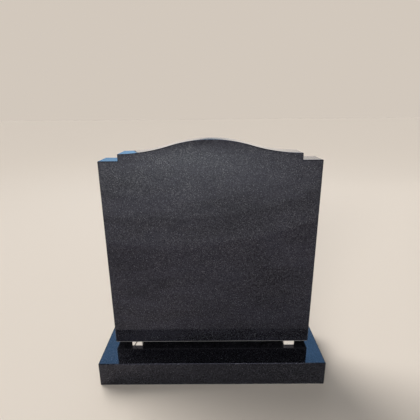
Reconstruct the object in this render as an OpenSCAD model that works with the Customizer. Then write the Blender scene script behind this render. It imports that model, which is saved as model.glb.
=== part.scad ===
// Ogee-topped headstone: an upright tablet standing on two packers on a plain base.
// Millimetres, +Z up. The origin is the middle of the base's underside, and the front faces -Y.

/* [Tablet] */
// Width of the tablet
tablet_w = 610; // [450:5:900]
// Thickness of the tablet, front to back
tablet_t = 76; // [50:1:125]
// Height of the tablet from its underside to the two shoulders
shoulder_h = 577; // [350:1:900]

/* [Ogee top] */
// Width of the square check cut out of each top corner
check_w = 55; // [25:1:110]
// Depth of each square check
check_h = 19; // [10:1:60]
// Rise of the ogee from the top of the checks to the crown
ogee_rise = 37; // [20:1:75]
// Radius of the convex arc over the crown
crown_r = 380; // [150:5:450]

/* [Base] */
// Height of the base
base_h = 76; // [50:1:150]
// Width of base that shows at each side of the tablet
side_margin = 33; // [10:1:150]
// Depth of base in front of the tablet
front_margin = 82; // [30:1:200]
// Depth of base behind the tablet
back_margin = 82; // [30:1:200]

/* [Packers] */
// Width of each packer
packer_w = 32; // [20:1:60]
// Height of the packers, which is the gap between the tablet and the base
packer_h = 13; // [6:1:20]
// How far the packers' ends sit behind the faces of the tablet
packer_setback = 0; // [0:0.5:20]
// From the left side of the tablet to the middle of the left packer
left_packer_in = 67.5; // [35:0.5:200]
// From the right side of the tablet to the middle of the right packer
right_packer_in = 59; // [35:0.5:200]
// Width of the slanting saw cut in the front of the left packer
cut_w = 3; // [1:0.5:4]
// Length of the saw cut, front to back
cut_depth = 25; // [5:1:35]
// From the middle of the left packer to the saw cut, towards the left side
cut_shift = 5; // [0:0.5:6]
// Lean of the saw cut from upright, in degrees
cut_lean = 31; // [0:1:40]

/* [Edges] */
// Width of the arris taken off the edges
arris = 2.5; // [1:0.5:5]

/* [Hidden] */
$fn = 96;
// How far a cutter stands clear of the faces that it cuts
clear = 1;
// How far the waste of an arc runs on past the stone, in degrees
lap = 0.4;

base_w = tablet_w + 2 * side_margin;
base_d = front_margin + tablet_t + back_margin;
tablet_y = (front_margin - back_margin) / 2;
tablet_z = base_h + packer_h;
packer_d = tablet_t - 2 * packer_setback;

// The ogee leaves each check level, turns over once and is level again at the crown.
half_span = tablet_w / 2 - check_w;
check_z = shoulder_h + check_h;
crown_z = check_z + ogee_rise;
flank_r = (half_span * half_span + ogee_rise * ogee_rise) / (2 * ogee_rise) - crown_r;
turn_angle = asin(half_span / (crown_r + flank_r));
turn_x = crown_r * sin(turn_angle);
turn_z = crown_z - crown_r * (1 - cos(turn_angle));
reach = crown_r + flank_r;

// Drawn twice, the second time mirrored about the centre line.
module both_sides() {
    children();
    mirror([1, 0, 0]) children();
}

// Placed where the crown's arc turns into the flank's, with both arcs along X.
module at_turn() {
    translate([turn_x, turn_z, 0]) rotate([0, 0, -turn_angle]) children();
}

// Right half of the tablet's outline.
module half_outline() {
    square([tablet_w / 2, shoulder_h]);
    intersection() {
        square([half_span, crown_z + ogee_rise]);
        at_turn() {
            intersection() {
                translate([0, -crown_r]) circle(crown_r);
                translate([-reach, -reach]) square(reach);
            }
            difference() {
                translate([0, -reach]) square([reach, 2 * reach]);
                translate([0, flank_r]) circle(flank_r);
            }
        }
    }
}

// Section of the waste that an arris takes off: the edge is at the origin, with the stone
// towards -X and -Y.
module arris_section() {
    cut = arris + clear;
    polygon([[-cut, clear], [clear, -cut], [clear, clear]]);
}

// Waste along a straight edge that runs from the origin along +Y, with the stone at its left.
module straight_waste(length) {
    translate([0, length, 0]) rotate([90, 0, 0]) linear_extrude(length) arris_section();
}

// Waste along the right half of a face's edges, with the face at z = 0.
module half_face_waste() {
    // underside, side, shoulder and check
    translate([-clear, 0, 0]) rotate([0, 0, -90]) straight_waste(tablet_w / 2 + 2 * clear);
    translate([tablet_w / 2, -clear, 0]) straight_waste(shoulder_h + 2 * clear);
    translate([tablet_w / 2 + clear, shoulder_h, 0]) rotate([0, 0, 90])
        straight_waste(check_w + clear);
    translate([half_span, shoulder_h, 0]) straight_waste(check_h + clear);
    // inner corner of the check
    translate([half_span, shoulder_h, -arris])
        cylinder(h = arris + clear, r1 = 0, r2 = arris + clear);
    // crown and flank
    at_turn() {
        translate([0, -crown_r, 0]) rotate([0, 0, 90])
            rotate_extrude(angle = turn_angle + lap) translate([crown_r, 0]) arris_section();
        translate([0, flank_r, 0]) rotate([0, 0, -90])
            rotate_extrude(angle = turn_angle + lap) translate([flank_r, 0]) mirror([1, 0])
                arris_section();
    }
}

module tablet() {
    color("#2c2c31")
    translate([0, tablet_y, tablet_z]) rotate([90, 0, 0]) both_sides()
    difference() {
        linear_extrude(tablet_t, center = true) half_outline();
        for (face = [0, 1])
            mirror([0, 0, face]) translate([0, 0, tablet_t / 2]) half_face_waste();
    }
}

// Outline of a block that stands on y = 0, with an arris at its two top corners.
function block_side(w, h) = [
    [-w / 2, 0], [w / 2, 0],
    [w / 2, h - arris], [w / 2 - arris, h],
    [arris - w / 2, h], [-w / 2, h - arris]
];

// Outline of a block seen from above, with an arris at its four corners.
function block_plan(w, d) = [
    [arris - w / 2, -d / 2], [w / 2 - arris, -d / 2],
    [w / 2, arris - d / 2], [w / 2, d / 2 - arris],
    [w / 2 - arris, d / 2], [arris - w / 2, d / 2],
    [-w / 2, d / 2 - arris], [-w / 2, arris - d / 2]
];

module base() {
    color("#222226")
    intersection() {
        rotate([90, 0, 0]) linear_extrude(base_d, center = true)
            polygon(block_side(base_w, base_h));
        rotate([90, 0, 90]) linear_extrude(base_w, center = true)
            polygon(block_side(base_d, base_h));
        linear_extrude(base_h) polygon(block_plan(base_w, base_d));
    }
}

// A packer stands on the base with its middle at x, its ends at or behind the tablet's faces.
module packer(x) {
    translate([x, tablet_y, base_h + packer_h / 2])
        cube([packer_w, packer_d, packer_h], center = true);
}

module packer_left() {
    middle = left_packer_in - tablet_w / 2;
    color("#e9ddd0")
    difference() {
        packer(middle);
        translate([middle - cut_shift, tablet_y - packer_d / 2, base_h + packer_h / 2])
            rotate([0, cut_lean, 0]) cube([cut_w, 2 * cut_depth, 3 * packer_h], center = true);
    }
}

module packer_right() {
    color("#e9ddd0") packer(tablet_w / 2 - right_packer_in);
}

tablet();
base();
packer_left();
packer_right();
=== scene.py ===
import math

import bmesh
import bpy
from mathutils import Matrix, Vector


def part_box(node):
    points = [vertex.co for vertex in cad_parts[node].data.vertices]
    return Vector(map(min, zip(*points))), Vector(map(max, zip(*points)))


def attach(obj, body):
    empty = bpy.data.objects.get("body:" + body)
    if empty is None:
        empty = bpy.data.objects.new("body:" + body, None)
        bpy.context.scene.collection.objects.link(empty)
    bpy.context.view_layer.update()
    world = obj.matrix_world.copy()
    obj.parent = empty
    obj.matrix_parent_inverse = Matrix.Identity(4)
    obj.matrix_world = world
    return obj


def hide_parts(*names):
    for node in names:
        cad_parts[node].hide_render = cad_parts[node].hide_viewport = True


bl_info = {
    "name": "Ogee Headstone",
    "version": (1, 0, 0),
    "blender": (4, 5, 0),
    "location": "3D View > Sidebar > Headstone",
    "description": "Builds a polished black granite headstone on its base and packers",
    "category": "Add Mesh",
}

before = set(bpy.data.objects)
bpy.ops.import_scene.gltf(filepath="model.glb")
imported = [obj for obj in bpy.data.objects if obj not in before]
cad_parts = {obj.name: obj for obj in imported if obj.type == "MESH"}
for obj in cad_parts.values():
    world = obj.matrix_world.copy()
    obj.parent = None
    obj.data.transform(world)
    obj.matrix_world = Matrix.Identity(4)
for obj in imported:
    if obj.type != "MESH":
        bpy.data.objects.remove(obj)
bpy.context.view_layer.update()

UP = Vector((0, 0, 1))
ACROSS = Vector((1, 0, 0))
BACKWARD = Vector((0, 1, 0))
# Points closer than this are one point.
WELD = 1e-6
# Faces that meet at more than this are a corner, which isn't shaded as a curve.
SHARP_TURN = math.radians(50)
# A normal points along a direction if the cosine between them is more than this.
ALONG = 0.99
# Faces that look down more than this are left as sawn, with the arris around them.
LEAST_DOWNWARD = 0.05
# Weight of broad faces over narrow ones in the shading, from 50 for none to 100 for the most.
BROAD_WEIGHT = 100
# Material slots of a stone piece, after the polished one.
HONED, SAWN = 1, 2
# Shift of the grain, so that the base doesn't repeat the tablet.
TABLET_GRAIN = (0.0, 0.0, 0.0)
BASE_GRAIN = (3.7, 1.9, 5.3)
# Fine and sparkling grains are this many times smaller than ordinary ones.
FINE = 2.3
SPARKLING = 1.45
# Wiping marks are this many times longer than they are high.
WIPE_STRETCH = 3.5
# Inputs and output of a mix node that mixes colours.
MIX_SHARE, MIX_FIRST, MIX_SECOND, MIX_RESULT = 0, 6, 7, 2
# Half the width of the floor, and the nearest distance that the camera sees.
FLOOR_REACH = 30
NEAREST = 0.01
# A glow's ellipses lie this far above each other, so that the polish mirrors all of them.
RING_RISE = 0.001
# They lean back by this share, so that they have a heading.
LEVEL_TILT = 0.0005


# ---------------------------------------------------------------- sizes and colours


class TabletSettings(bpy.types.PropertyGroup):
    """Shape of the upright tablet, whose outer size is the frame's."""

    check_width: bpy.props.FloatProperty(
        name="Check width", description="Width of the square check in each top corner",
        default=0.055, min=0.02, max=0.11, unit="LENGTH")
    check_height: bpy.props.FloatProperty(
        name="Check height", description="Depth of the square check in each top corner",
        default=0.019, min=0.005, max=0.06, unit="LENGTH")
    ogee_rise: bpy.props.FloatProperty(
        name="Ogee rise", description="Height of the crown above the checks' top",
        default=0.037, min=0.02, max=0.075, unit="LENGTH")
    crown_radius: bpy.props.FloatProperty(
        name="Crown radius", description="Radius of the convex arc over the crown",
        default=0.38, min=0.15, max=0.45, unit="LENGTH")
    arc_steps: bpy.props.IntProperty(
        name="Arc steps", description="Straight steps in each of the ogee's four arcs",
        default=40, min=8, max=96)


class EdgeSettings(bpy.types.PropertyGroup):
    """Rounding along the stone's edges."""

    arris: bpy.props.FloatProperty(
        name="Arris", description="Width of the rounding along the stone's edges",
        default=0.0025, min=0.0005, max=0.006, unit="LENGTH")
    foot_arris: bpy.props.FloatProperty(
        name="Foot arris", description="Width of the rounding around the base's underside",
        default=0.001, min=0.0002, max=0.004, unit="LENGTH")
    segments: bpy.props.IntProperty(
        name="Segments", description="Steps in the rounding of each edge",
        default=6, min=1, max=12)
    foot_segments: bpy.props.IntProperty(
        name="Foot segments", description="Steps in the rounding around the base's underside",
        default=2, min=1, max=12)


class GraniteSettings(bpy.types.PropertyGroup):
    """Colours and grain of the black granite."""

    ground: bpy.props.FloatVectorProperty(
        name="Ground", description="Dark mineral that fills the stone",
        subtype="COLOR", size=4, default=(0.003, 0.003, 0.004, 1))
    oxide: bpy.props.FloatVectorProperty(
        name="Oxide", description="Grey grains with a metallic lustre",
        subtype="COLOR", size=4, default=(0.10, 0.102, 0.126, 1))
    fleck: bpy.props.FloatVectorProperty(
        name="Fleck", description="Sparse bright grains",
        subtype="COLOR", size=4, default=(0.15, 0.153, 0.17, 1))
    grain_size: bpy.props.FloatProperty(
        name="Grain size", description="Width of an ordinary grain",
        default=0.0018, min=0.0004, max=0.01, unit="LENGTH")
    haze: bpy.props.FloatVectorProperty(
        name="Haze", description="Light film of dust on the tablet",
        subtype="COLOR", size=4, default=(0.0123, 0.0126, 0.018, 1))
    dust: bpy.props.FloatVectorProperty(
        name="Dust", description="Fine dust in the honed back",
        subtype="COLOR", size=4, default=(0.07, 0.068, 0.066, 1))
    sawn: bpy.props.FloatVectorProperty(
        name="Sawn", description="Crushed grains on the sawn undersides",
        subtype="COLOR", size=4, default=(0.36, 0.355, 0.36, 1))
    refraction: bpy.props.FloatProperty(
        name="Refractive index", description="Refractive index of the polished stone",
        default=1.7, min=1.3, max=1.8)
    gloss_tint: bpy.props.FloatVectorProperty(
        name="Gloss tint", description="Tint of what the polish mirrors",
        subtype="COLOR", size=4, default=(0.29, 0.30, 0.41, 1))


class PackerSettings(bpy.types.PropertyGroup):
    """Shape and colour of the two packers."""

    cut_width: bpy.props.FloatProperty(
        name="Cut width", description="Width of the saw cut in the left packer",
        default=0.003, min=0.001, max=0.004, unit="LENGTH")
    cut_depth: bpy.props.FloatProperty(
        name="Cut depth", description="Length of the saw cut from front to back",
        default=0.025, min=0.005, max=0.035, unit="LENGTH")
    cut_shift: bpy.props.FloatProperty(
        name="Cut shift", description="Distance of the saw cut left of the packer's middle",
        default=0.005, min=0, max=0.006, unit="LENGTH")
    cut_lean: bpy.props.FloatProperty(
        name="Cut lean", description="Lean of the saw cut from upright",
        default=math.radians(31), min=0, max=math.radians(40), unit="ROTATION")
    edge: bpy.props.FloatProperty(
        name="Edge", description="Width of the rounding along the packers' edges",
        default=0.0006, min=0.0001, max=0.002, unit="LENGTH")
    segments: bpy.props.IntProperty(
        name="Segments", description="Steps in the rounding of each edge",
        default=3, min=1, max=12)
    colour: bpy.props.FloatVectorProperty(
        name="Colour", description="Clean plastic of the packers",
        subtype="COLOR", size=4, default=(0.93, 0.86, 0.78, 1))
    grime: bpy.props.FloatVectorProperty(
        name="Grime", description="Stone dust and dirt on the packers",
        subtype="COLOR", size=4, default=(0.30, 0.27, 0.23, 1))


class StageSettings(bpy.types.PropertyGroup):
    """Camera, floor and lights."""

    camera_place: bpy.props.FloatVectorProperty(
        name="Camera place", description="Where the camera stands",
        subtype="TRANSLATION", size=3, default=(0.0017, -0.9256, 0.7955), unit="LENGTH")
    camera_pitch: bpy.props.FloatProperty(
        name="Camera pitch", description="How far the camera looks down",
        default=math.radians(16.81), unit="ROTATION")
    camera_yaw: bpy.props.FloatProperty(
        name="Camera yaw", description="How far the camera turns to its left",
        default=math.radians(0.24), unit="ROTATION")
    camera_roll: bpy.props.FloatProperty(
        name="Camera roll", description="How far the camera leans to its left",
        default=math.radians(-0.5), unit="ROTATION")
    camera_lens: bpy.props.FloatProperty(
        name="Camera lens", description="Focal length in millimetres on a 36 mm sensor",
        default=28.33, min=10, max=200)
    floor_colour: bpy.props.FloatVectorProperty(
        name="Floor colour", description="Plain colour of the floor",
        subtype="COLOR", size=4, default=(0.78, 0.705, 0.62, 1))
    air_colour: bpy.props.FloatVectorProperty(
        name="Backdrop colour", description="Plain colour behind the floor",
        subtype="COLOR", size=4, default=(0.645, 0.577, 0.505, 1))
    room_colour: bpy.props.FloatVectorProperty(
        name="Room colour", description="Colour of the dim room around the stone",
        subtype="COLOR", size=4, default=(0.95, 0.97, 1.0, 1))
    room_strength: bpy.props.FloatProperty(
        name="Room strength", description="Brightness of the dim room around the stone",
        default=0.16, min=0, max=2)


class HeadstoneSettings(bpy.types.PropertyGroup):
    """Everything that a user would change."""

    tablet: bpy.props.PointerProperty(type=TabletSettings)
    edges: bpy.props.PointerProperty(type=EdgeSettings)
    granite: bpy.props.PointerProperty(type=GraniteSettings)
    packers: bpy.props.PointerProperty(type=PackerSettings)
    stage: bpy.props.PointerProperty(type=StageSettings)


# ---------------------------------------------------------------- meshes


def finish_mesh(bm, name, materials):
    """Turns a bmesh into an object, with its faces outwards and its corners marked sharp."""
    bmesh.ops.recalc_face_normals(bm, faces=bm.faces)
    for edge in bm.edges:
        edge.smooth = edge.calc_face_angle(0) < SHARP_TURN
    mesh = bpy.data.meshes.new(name)
    bm.to_mesh(mesh)
    bm.free()
    piece = bpy.data.objects.new(name, mesh)
    bpy.context.scene.collection.objects.link(piece)
    for material in materials:
        mesh.materials.append(material)
    return piece


def flatten_broad_faces(piece):
    """Keeps broad faces flat to the eye while the rounding between them shades smoothly."""
    piece.data.shade_smooth()
    modifier = piece.modifiers.new("Broad faces", "WEIGHTED_NORMAL")
    modifier.mode = "FACE_AREA"
    modifier.weight = BROAD_WEIGHT
    modifier.keep_sharp = True


def round_edges(bm, edges, width, segments):
    """Rounds edges to a quarter circle."""
    bmesh.ops.bevel(
        bm, geom=list(edges), offset=width, offset_type="OFFSET", segments=segments,
        profile=0.5, affect="EDGES", clamp_overlap=True, material=-1)


def step(bm, vert, move):
    """Draws a straight line on from vert and returns its new end."""
    end = bmesh.ops.extrude_vert_indiv(bm, verts=[vert])["verts"][0]
    bmesh.ops.translate(bm, verts=[end], vec=move)
    return end


def sweep(bm, vert, centre, angle, steps):
    """Draws an arc on from vert, about a centre in the upright plane, and returns its end."""
    last = bmesh.ops.spin(
        bm, geom=[vert], cent=centre, axis=BACKWARD, angle=angle, steps=steps)["geom_last"]
    return next(item for item in last if isinstance(item, bmesh.types.BMVert))


def push(bm, faces, move):
    """Extrudes faces by move."""
    region = set(faces)
    for face in faces:
        region.update(face.edges)
        region.update(face.verts)
    made = bmesh.ops.extrude_face_region(bm, geom=list(region))["geom"]
    moved = [item for item in made if isinstance(item, bmesh.types.BMVert)]
    bmesh.ops.translate(bm, verts=moved, vec=move)


def faces_along(bm, direction):
    """Faces whose normal points along direction."""
    return [face for face in bm.faces if face.normal.dot(direction) > ALONG]


def tablet_mesh(low, high, shape, edges):
    """The tablet as a bmesh: the ogee outline on its front face, pushed back and rounded."""
    half_width = (high.x - low.x) / 2
    half_span = half_width - shape.check_width
    check_top = high.z - shape.ogee_rise
    flank_radius = (half_span ** 2 + shape.ogee_rise ** 2) / (2 * shape.ogee_rise)
    flank_radius -= shape.crown_radius
    turn = math.asin(half_span / (shape.crown_radius + flank_radius))
    bm = bmesh.new()
    point = bm.verts.new((0, low.y, high.z))
    point = sweep(bm, point, (0, low.y, high.z - shape.crown_radius), turn, shape.arc_steps)
    point = sweep(bm, point, (half_span, low.y, check_top + flank_radius), -turn, shape.arc_steps)
    point = step(bm, point, -shape.check_height * UP)
    point = step(bm, point, shape.check_width * ACROSS)
    point = step(bm, point, -(check_top - shape.check_height - low.z) * UP)
    step(bm, point, -half_width * ACROSS)
    bmesh.ops.mirror(bm, geom=bm.verts[:] + bm.edges[:], axis="X", merge_dist=WELD)
    bmesh.ops.remove_doubles(bm, verts=bm.verts, dist=WELD)
    bmesh.ops.contextual_create(bm, geom=bm.edges[:])
    push(bm, bm.faces[:], (high.y - low.y) * BACKWARD)
    bmesh.ops.recalc_face_normals(bm, faces=bm.faces)
    bm.normal_update()
    outline = set()
    for face in faces_along(bm, BACKWARD) + faces_along(bm, -BACKWARD):
        outline.update(face.edges)
    corners = [
        edge for edge in bm.edges
        if edge not in outline and edge.is_convex and edge.calc_face_angle() > SHARP_TURN]
    round_edges(bm, list(outline) + corners, edges.arris, edges.segments)
    return bm


def block(low, high):
    """A plain block between two corners, as a bmesh."""
    bm = bmesh.new()
    bmesh.ops.create_cube(bm, size=1)
    bmesh.ops.scale(bm, verts=bm.verts, vec=high - low)
    bmesh.ops.translate(bm, verts=bm.verts, vec=(low + high) / 2)
    return bm


def edges_at(bm, height):
    """Edges that lie no higher than height."""
    return [edge for edge in bm.edges if all(vert.co.z < height + WELD for vert in edge.verts)]


def base_mesh(low, high, edges):
    """The base as a bmesh: wide arrises above and at the corners, fine ones at its foot."""
    bm = block(low, high)
    foot = edges_at(bm, low.z)
    round_edges(bm, [edge for edge in bm.edges if edge not in foot], edges.arris, edges.segments)
    round_edges(bm, edges_at(bm, low.z), edges.foot_arris, edges.foot_segments)
    return bm


def packer_mesh(low, high, shape, cut):
    """A packer as a bmesh. A cut one is drawn at the end of its saw cut and pushed both ways."""
    if not cut:
        bm = block(low, high)
        round_edges(bm, bm.edges, shape.edge, shape.segments)
        return bm
    middle = (low + high) / 2
    notch = low.y + shape.cut_depth
    bm = bmesh.new()
    bmesh.ops.create_grid(
        bm, x_segments=1, y_segments=1, size=0.5,
        matrix=Matrix.Rotation(math.pi / 2, 4, "X"))
    bmesh.ops.scale(bm, verts=bm.verts, vec=(high.x - low.x, 1, high.z - low.z))
    bmesh.ops.translate(bm, verts=bm.verts, vec=(middle.x, notch, middle.z))
    across_cut = Matrix.Rotation(shape.cut_lean, 3, "Y") @ ACROSS
    cut_middle = Vector((middle.x - shape.cut_shift, notch, middle.z))
    for side in (-1, 1):
        bmesh.ops.bisect_plane(
            bm, geom=bm.verts[:] + bm.edges[:] + bm.faces[:], dist=WELD,
            plane_co=cut_middle + side * shape.cut_width / 2 * across_cut, plane_no=across_cut)
    push(bm, bm.faces[:], (high.y - notch) * BACKWARD)
    bmesh.ops.recalc_face_normals(bm, faces=bm.faces)
    bm.normal_update()
    for face in faces_along(bm, -BACKWARD):
        if abs((face.calc_center_median() - cut_middle).dot(across_cut)) > shape.cut_width / 2:
            push(bm, [face], -shape.cut_depth * BACKWARD)
    bmesh.ops.recalc_face_normals(bm, faces=bm.faces)
    bm.normal_update()
    turned = [edge for edge in bm.edges if edge.calc_face_angle_signed(0) > SHARP_TURN]
    round_edges(bm, turned, shape.edge, shape.segments)
    return bm


# ---------------------------------------------------------------- materials


class Nodes:
    """Short calls for building one tree of shader nodes."""

    def __init__(self, tree):
        self.tree = tree
        self.tree.nodes.clear()

    def add(self, kind, **settings):
        """A node of the given kind, with settings of its own such as its operation."""
        node = self.tree.nodes.new(kind)
        for name, value in settings.items():
            setattr(node, name, value)
        return node

    def assign(self, socket, value):
        """Links value to an input if it is an output, and otherwise sets the input to it."""
        if isinstance(value, bpy.types.NodeSocket):
            self.tree.links.new(value, socket)
        else:
            socket.default_value = value

    def feed(self, node, **inputs):
        """Assigns inputs, whose names are written with underscores for spaces."""
        for name, value in inputs.items():
            self.assign(node.inputs[name.replace("_", " ")], value)

    def place(self, offset, scale=(1, 1, 1)):
        """Object coordinates, shifted so that the stones' grain differs, and squeezed by scale."""
        coordinates = self.add("ShaderNodeTexCoord")
        mapping = self.add("ShaderNodeMapping")
        self.feed(mapping, Vector=coordinates.outputs["Object"], Location=offset, Scale=scale)
        return mapping.outputs["Vector"]

    def noise(self, place, scale, detail=4.0, roughness=0.5):
        """Cloudy values around a half."""
        node = self.add("ShaderNodeTexNoise")
        self.feed(node, Vector=place, Scale=scale, Detail=detail, Roughness=roughness)
        return node.outputs["Fac"]

    def grains(self, place, scale):
        """One random value for each grain."""
        node = self.add("ShaderNodeTexVoronoi")
        self.feed(node, Vector=place, Scale=scale)
        separate = self.add("ShaderNodeSeparateColor")
        self.feed(separate, Color=node.outputs["Color"])
        return separate.outputs["Red"]

    def span(self, value, low, high, to_low=0.0, to_high=1.0):
        """Stretches low..high to to_low..to_high."""
        node = self.add("ShaderNodeMapRange", interpolation_type="SMOOTHSTEP")
        self.feed(node, Value=value, From_Min=low, From_Max=high, To_Min=to_low, To_Max=to_high)
        return node.outputs["Result"]

    def blend(self, share, first, second):
        """Mixes two colours by share."""
        node = self.add("ShaderNodeMix", data_type="RGBA")
        self.assign(node.inputs[MIX_SHARE], share)
        self.assign(node.inputs[MIX_FIRST], first)
        self.assign(node.inputs[MIX_SECOND], second)
        return node.outputs[MIX_RESULT]

    def times(self, first, second):
        """Multiplies two values."""
        node = self.add("ShaderNodeMath", operation="MULTIPLY")
        self.assign(node.inputs[0], first)
        self.assign(node.inputs[1], second)
        return node.outputs["Value"]

    def bump(self, height, distance, strength):
        """Turns the surface as if height stood out by distance."""
        node = self.add("ShaderNodeBump")
        self.feed(node, Height=height, Distance=distance, Strength=strength)
        return node.outputs["Normal"]

    def surface(self, **inputs):
        """The Principled shader and the output."""
        shader = self.add("ShaderNodeBsdfPrincipled")
        self.feed(shader, **inputs)
        output = self.add("ShaderNodeOutputMaterial")
        self.feed(output, Surface=shader.outputs["BSDF"])


def new_material(name):
    """A new material and the nodes to build it with."""
    material = bpy.data.materials.new(name)
    material.use_nodes = True
    return Nodes(material.node_tree), material


def granite_grain(nodes, place, granite, ground):
    """Fine black granite, as its colour and its share of grains with a metallic lustre."""
    scale = 1 / granite.grain_size
    coarse = nodes.span(nodes.grains(place, scale), 0.35, 1.0)
    fine = nodes.span(nodes.grains(place, FINE * scale), 0.0, 0.8)
    drift = nodes.noise(place, scale=14.0, detail=6.0, roughness=0.65)
    cloud = nodes.span(drift, 0.3, 0.7, to_low=0.45)
    lustre = nodes.times(nodes.times(coarse, fine), cloud)
    stone = nodes.blend(lustre, ground, granite.oxide)
    sparkle = nodes.span(nodes.grains(place, SPARKLING * scale), 0.955, 0.99)
    return nodes.blend(nodes.times(sparkle, fine), stone, granite.fleck), lustre


def polished_granite(name, granite, offset, haze):
    """Mirror polished granite, with faint level wiping marks under a film of haze."""
    nodes, material = new_material(name)
    place = nodes.place(offset)
    level = nodes.place(offset, (1, 1, WIPE_STRETCH))
    wiped = nodes.noise(level, scale=4.0, detail=7.0, roughness=0.62)
    ground = nodes.blend(nodes.span(wiped, 0.34, 0.68), granite.ground, haze)
    colour, lustre = granite_grain(nodes, place, granite, ground)
    smear = nodes.span(wiped, 0.42, 0.72, to_low=0.045, to_high=0.11)
    nodes.surface(
        Base_Color=colour, Metallic=lustre, Roughness=smear, IOR=granite.refraction,
        Specular_Tint=granite.gloss_tint)
    return material


def honed_granite(name, granite, offset):
    """The plainer back: honed flat, so that its grain shows grey and nothing mirrors in it."""
    nodes, material = new_material(name)
    place = nodes.place(offset)
    stone, _ = granite_grain(nodes, place, granite, granite.ground)
    drift = nodes.noise(place, scale=7.0, detail=6.0, roughness=0.65)
    dusted = nodes.span(drift, 0.3, 0.75, to_low=0.35, to_high=0.7)
    rough = nodes.span(nodes.noise(place, scale=30.0), 0.3, 0.7, to_low=0.42, to_high=0.56)
    pits = nodes.noise(place, scale=900.0, detail=3.0)
    nodes.surface(
        Base_Color=nodes.blend(dusted, stone, granite.dust),
        Roughness=rough, IOR=granite.refraction,
        Normal=nodes.bump(pits, distance=0.00015, strength=0.4))
    return material


def sawn_granite(name, granite, offset):
    """Sawn undersides: grey, dull and lined across by the saw."""
    nodes, material = new_material(name)
    place = nodes.place(offset)
    stone, _ = granite_grain(nodes, place, granite, granite.ground)
    drift = nodes.noise(place, scale=12.0, detail=6.0, roughness=0.6)
    crushed = nodes.span(drift, 0.3, 0.7, to_low=0.55, to_high=0.85)
    wave = nodes.add("ShaderNodeTexWave", bands_direction="X")
    nodes.feed(wave, Vector=place, Scale=60.0, Distortion=1.5, Detail=2.0)
    lines = wave.outputs["Fac"]
    nodes.surface(
        Base_Color=nodes.blend(crushed, stone, granite.sawn),
        Roughness=nodes.span(lines, 0, 1, to_low=0.68, to_high=0.8), IOR=granite.refraction,
        Normal=nodes.bump(lines, distance=0.0003, strength=0.5))
    return material


def packer_plastic(name, packers):
    """Dull cream plastic, scuffed and dusted with stone slurry."""
    nodes, material = new_material(name)
    place = nodes.place((0, 0, 0))
    spots = nodes.noise(place, scale=90.0, detail=5.0, roughness=0.65)
    dirt = nodes.span(spots, 0.52, 0.75, to_high=0.5)
    scuff = nodes.noise(place, scale=400.0, detail=3.0)
    nodes.surface(
        Base_Color=nodes.blend(dirt, packers.colour, packers.grime),
        Roughness=nodes.span(scuff, 0.3, 0.7, to_low=0.42, to_high=0.62),
        Normal=nodes.bump(scuff, distance=0.0002, strength=0.4))
    return material


def floor_material(stage):
    """Plain matt floor."""
    nodes, material = new_material("floor")
    nodes.surface(Base_Color=stage.floor_colour, Roughness=0.9)
    return material


# ---------------------------------------------------------------- operators


def finish_hidden_sides(bm):
    """Gives the back its honed finish and the underside its sawn one."""
    for face in faces_along(bm, BACKWARD):
        face.material_index = HONED
    for face in bm.faces:
        if -face.normal.z > LEAST_DOWNWARD:
            face.material_index = SAWN


def add_stone(bm, node, offset, haze):
    """Makes a stone piece of bm, in place of a node of the frame."""
    granite = bpy.context.scene.headstone.granite
    bm.normal_update()
    finish_hidden_sides(bm)
    piece = finish_mesh(bm, node + "_stone", [
        polished_granite(node + "_polished", granite, offset, haze),
        honed_granite(node + "_honed", granite, offset),
        sawn_granite(node + "_sawn", granite, offset)])
    flatten_broad_faces(piece)
    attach(piece, "root")
    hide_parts(node)


class HEADSTONE_OT_tablet(bpy.types.Operator):
    """Build the upright tablet with its ogee top"""

    bl_idname = "headstone.tablet"
    bl_label = "Tablet"

    def execute(self, context):
        settings = context.scene.headstone
        low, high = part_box("tablet")
        bm = tablet_mesh(low, high, settings.tablet, settings.edges)
        haze = settings.granite.haze
        add_stone(bm, "tablet", TABLET_GRAIN, haze)
        return {"FINISHED"}


class HEADSTONE_OT_base(bpy.types.Operator):
    """Build the base that the tablet stands on"""

    bl_idname = "headstone.base"
    bl_label = "Base"

    def execute(self, context):
        low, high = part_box("base")
        settings = context.scene.headstone
        bm = base_mesh(low, high, settings.edges)
        add_stone(bm, "base", BASE_GRAIN, settings.granite.ground)
        return {"FINISHED"}


class HEADSTONE_OT_packers(bpy.types.Operator):
    """Build the two packers in the gap between the tablet and the base"""

    bl_idname = "headstone.packers"
    bl_label = "Packers"

    def execute(self, context):
        shape = context.scene.headstone.packers
        plastic = packer_plastic("packer_plastic", shape)
        for node in ("packer_left", "packer_right"):
            low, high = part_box(node)
            bm = packer_mesh(low, high, shape, cut=node == "packer_left")
            piece = finish_mesh(bm, node + "_block", [plastic])
            flatten_broad_faces(piece)
            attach(piece, "root")
            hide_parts(node)
        return {"FINISHED"}


def add_camera(stage):
    """The camera, at its place and turned by its three angles."""
    camera = bpy.data.objects.new("camera", bpy.data.cameras.new("camera"))
    camera.data.lens = stage.camera_lens
    camera.data.clip_start = NEAREST
    turn = (
        Matrix.Rotation(stage.camera_yaw, 4, "Z")
        @ Matrix.Rotation(math.pi / 2 - stage.camera_pitch, 4, "X")
        @ Matrix.Rotation(stage.camera_roll, 4, "Z"))
    camera.matrix_world = Matrix.Translation(stage.camera_place) @ turn
    bpy.context.scene.collection.objects.link(camera)
    bpy.context.scene.camera = camera


def add_floor(stage):
    """A wide plain floor under the base."""
    bm = bmesh.new()
    bmesh.ops.create_grid(bm, x_segments=1, y_segments=1, size=FLOOR_REACH)
    floor = finish_mesh(bm, "floor", [floor_material(stage)])


def place_facing(item, place, aim):
    """Puts item at place in the scene, looking towards aim and unseen by the camera."""
    turn = (Vector(aim) - Vector(place)).to_track_quat("-Z", "Y").to_matrix().to_4x4()
    item.matrix_world = Matrix.Translation(place) @ turn
    item.visible_camera = False
    bpy.context.scene.collection.objects.link(item)


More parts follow.
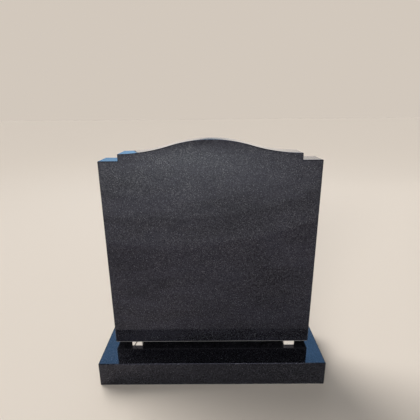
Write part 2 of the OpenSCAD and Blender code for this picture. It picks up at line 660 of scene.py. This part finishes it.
def add_panel(name, place, aim, size, colour, brightness, mirrored, shape="RECTANGLE"):
    """A soft flat light, which is either mirrored in the polish or lights dull surfaces."""
    light = bpy.data.lights.new(name, "AREA")
    light.shape = shape
    light.size, light.size_y = size
    light.color = colour
    area = size[0] * size[1] * (math.pi / 4 if shape == "ELLIPSE" else 1)
    light.energy = brightness * math.pi * area
    panel = bpy.data.objects.new(name, light)
    place_facing(panel, place, aim)
    panel.visible_diffuse = not mirrored
    panel.visible_glossy = mirrored


def add_glow(place, size, colour, brightness, rings):
    """A glow low over the floor that fades outwards: a few mirrored ellipses above each other.

    A ray passes only so many lights: with ten rings or more, the middle is mirrored too dark.
    """
    for ring in range(1, rings + 1):
        share = ring / rings
        centre = Vector(place) + ring * RING_RISE * UP
        aim = centre + UP + LEVEL_TILT * BACKWARD
        add_panel(
            "glow", centre, aim, (share * size[0], share * size[1]), colour,
            brightness / rings, True, "ELLIPSE")


def add_sun(name, place, spread, colour, strength):
    """A wide soft light from far away that the polish doesn't mirror."""
    light = bpy.data.lights.new(name, "SUN")
    light.angle = spread
    light.color = colour
    light.energy = strength
    sun = bpy.data.objects.new(name, light)
    place_facing(sun, place, (0, 0, 0))
    sun.visible_glossy = False


def add_air(stage):
    """The plain backdrop that the camera sees, with a dim room around the stone."""
    world = bpy.data.worlds.new("air")
    world.use_nodes = True
    nodes = Nodes(world.node_tree)
    path = nodes.add("ShaderNodeLightPath")
    seen = nodes.add("ShaderNodeBackground")
    nodes.feed(seen, Color=stage.air_colour, Strength=1.0)
    room = nodes.add("ShaderNodeBackground")
    nodes.feed(room, Color=stage.room_colour, Strength=stage.room_strength)
    mix = nodes.add("ShaderNodeMixShader")
    sources = (
        path.outputs["Is Camera Ray"], room.outputs["Background"], seen.outputs["Background"])
    for socket, source in zip(mix.inputs, sources):
        nodes.assign(socket, source)
    output = nodes.add("ShaderNodeOutputWorld")
    nodes.feed(output, Surface=mix.outputs["Shader"])
    bpy.context.scene.world = world


class HEADSTONE_OT_stage(bpy.types.Operator):
    """Set up the floor, the lights and the camera"""

    bl_idname = "headstone.stage"
    bl_label = "Stage"

    def execute(self, context):
        stage = context.scene.headstone.stage
        context.scene.view_settings.view_transform = "Standard"
        add_camera(stage)
        add_floor(stage)
        add_air(stage)
        white = (1, 0.98, 0.96)
        blue = (0.25, 0.6, 1.0)
        pale = (1.0, 0.9, 0.79)
        soft = (0.96, 1.0, 0.82)

        # Light on dull surfaces: name, place, spread, colour and strength of each sun.
        add_sun("back", (-2.0, 1.8, 2.3), math.radians(45), white, 2.9)
        add_sun("fill", (-1.2, -3.0, 0.7), math.radians(30), white, 2.25)

        # Name, place, aim, size, colour and brightness of each panel, and whether it is mirrored.
        add_panel("key", (-0.3, 2.4, 3.2), (0, 1.0, 0), (3.0, 1.6), white, 0.9, False)
        add_panel("skylight", (0, -1.7, 4.2), (0, 0, 0.4), (3.0, 1.2), white, 8.0, True)
        add_panel("sky_high", (0, 3.0, 2.5), (0, 0, 0.1), (3.8, 1.5), blue, 2.1, True)
        add_panel("sky_left", (-1.175, 3.0, 1.1), (-1.175, 0, 1.1), (0.47, 0.8), blue, 0.88, True)
        add_panel("pale_left", (-0.675, 3.0, 0.95), (-0.675, 0, 0.95), (0.51, 1.1), pale, 0.86, True)
        add_panel("sky_crown", (0, 3.0, 1.24), (0, 0, 1.24), (0.84, 0.54), blue, 0.3, True)
        add_panel("pale_crown", (0, 3.0, 0.68), (0, 0, 0.68), (0.84, 0.56), pale, 0.86, True)
        add_panel("pale_right", (1.9, 3.0, 0.9), (1.9, 0, 0.9), (2.96, 1.3), pale, 0.86, True)
        add_glow((-0.3, -4.7, 0.01), (4.4, 7.4), soft, brightness=2.6, rings=7)
        return {"FINISHED"}


class HEADSTONE_PT_panel(bpy.types.Panel):
    """Buttons and settings of the headstone"""

    bl_idname = "HEADSTONE_PT_panel"
    bl_label = "Headstone"
    bl_space_type = "VIEW_3D"
    bl_region_type = "UI"
    bl_category = "Headstone"

    def draw(self, context):
        settings = context.scene.headstone
        for operator in OPERATORS:
            self.layout.operator(operator.bl_idname)
        for name in ("tablet", "edges", "granite", "packers", "stage"):
            group = getattr(settings, name)
            box = self.layout.box()
            box.label(text=name.capitalize())
            for key in group.bl_rna.properties.keys():
                if key not in ("rna_type", "name"):
                    box.prop(group, key)


OPERATORS = (
    HEADSTONE_OT_tablet,
    HEADSTONE_OT_base,
    HEADSTONE_OT_packers,
    HEADSTONE_OT_stage,
)
CLASSES = (
    TabletSettings,
    EdgeSettings,
    GraniteSettings,
    PackerSettings,
    StageSettings,
    HeadstoneSettings,
    *OPERATORS,
    HEADSTONE_PT_panel,
)


def register():
    for cls in CLASSES:
        bpy.utils.register_class(cls)
    bpy.types.Scene.headstone = bpy.props.PointerProperty(type=HeadstoneSettings)


def unregister():
    del bpy.types.Scene.headstone
    for cls in reversed(CLASSES):
        bpy.utils.unregister_class(cls)


def main():
    register()
    bpy.ops.headstone.stage()
    bpy.ops.headstone.tablet()
    bpy.ops.headstone.base()
    bpy.ops.headstone.packers()


if __name__ == "__main__":
    main()
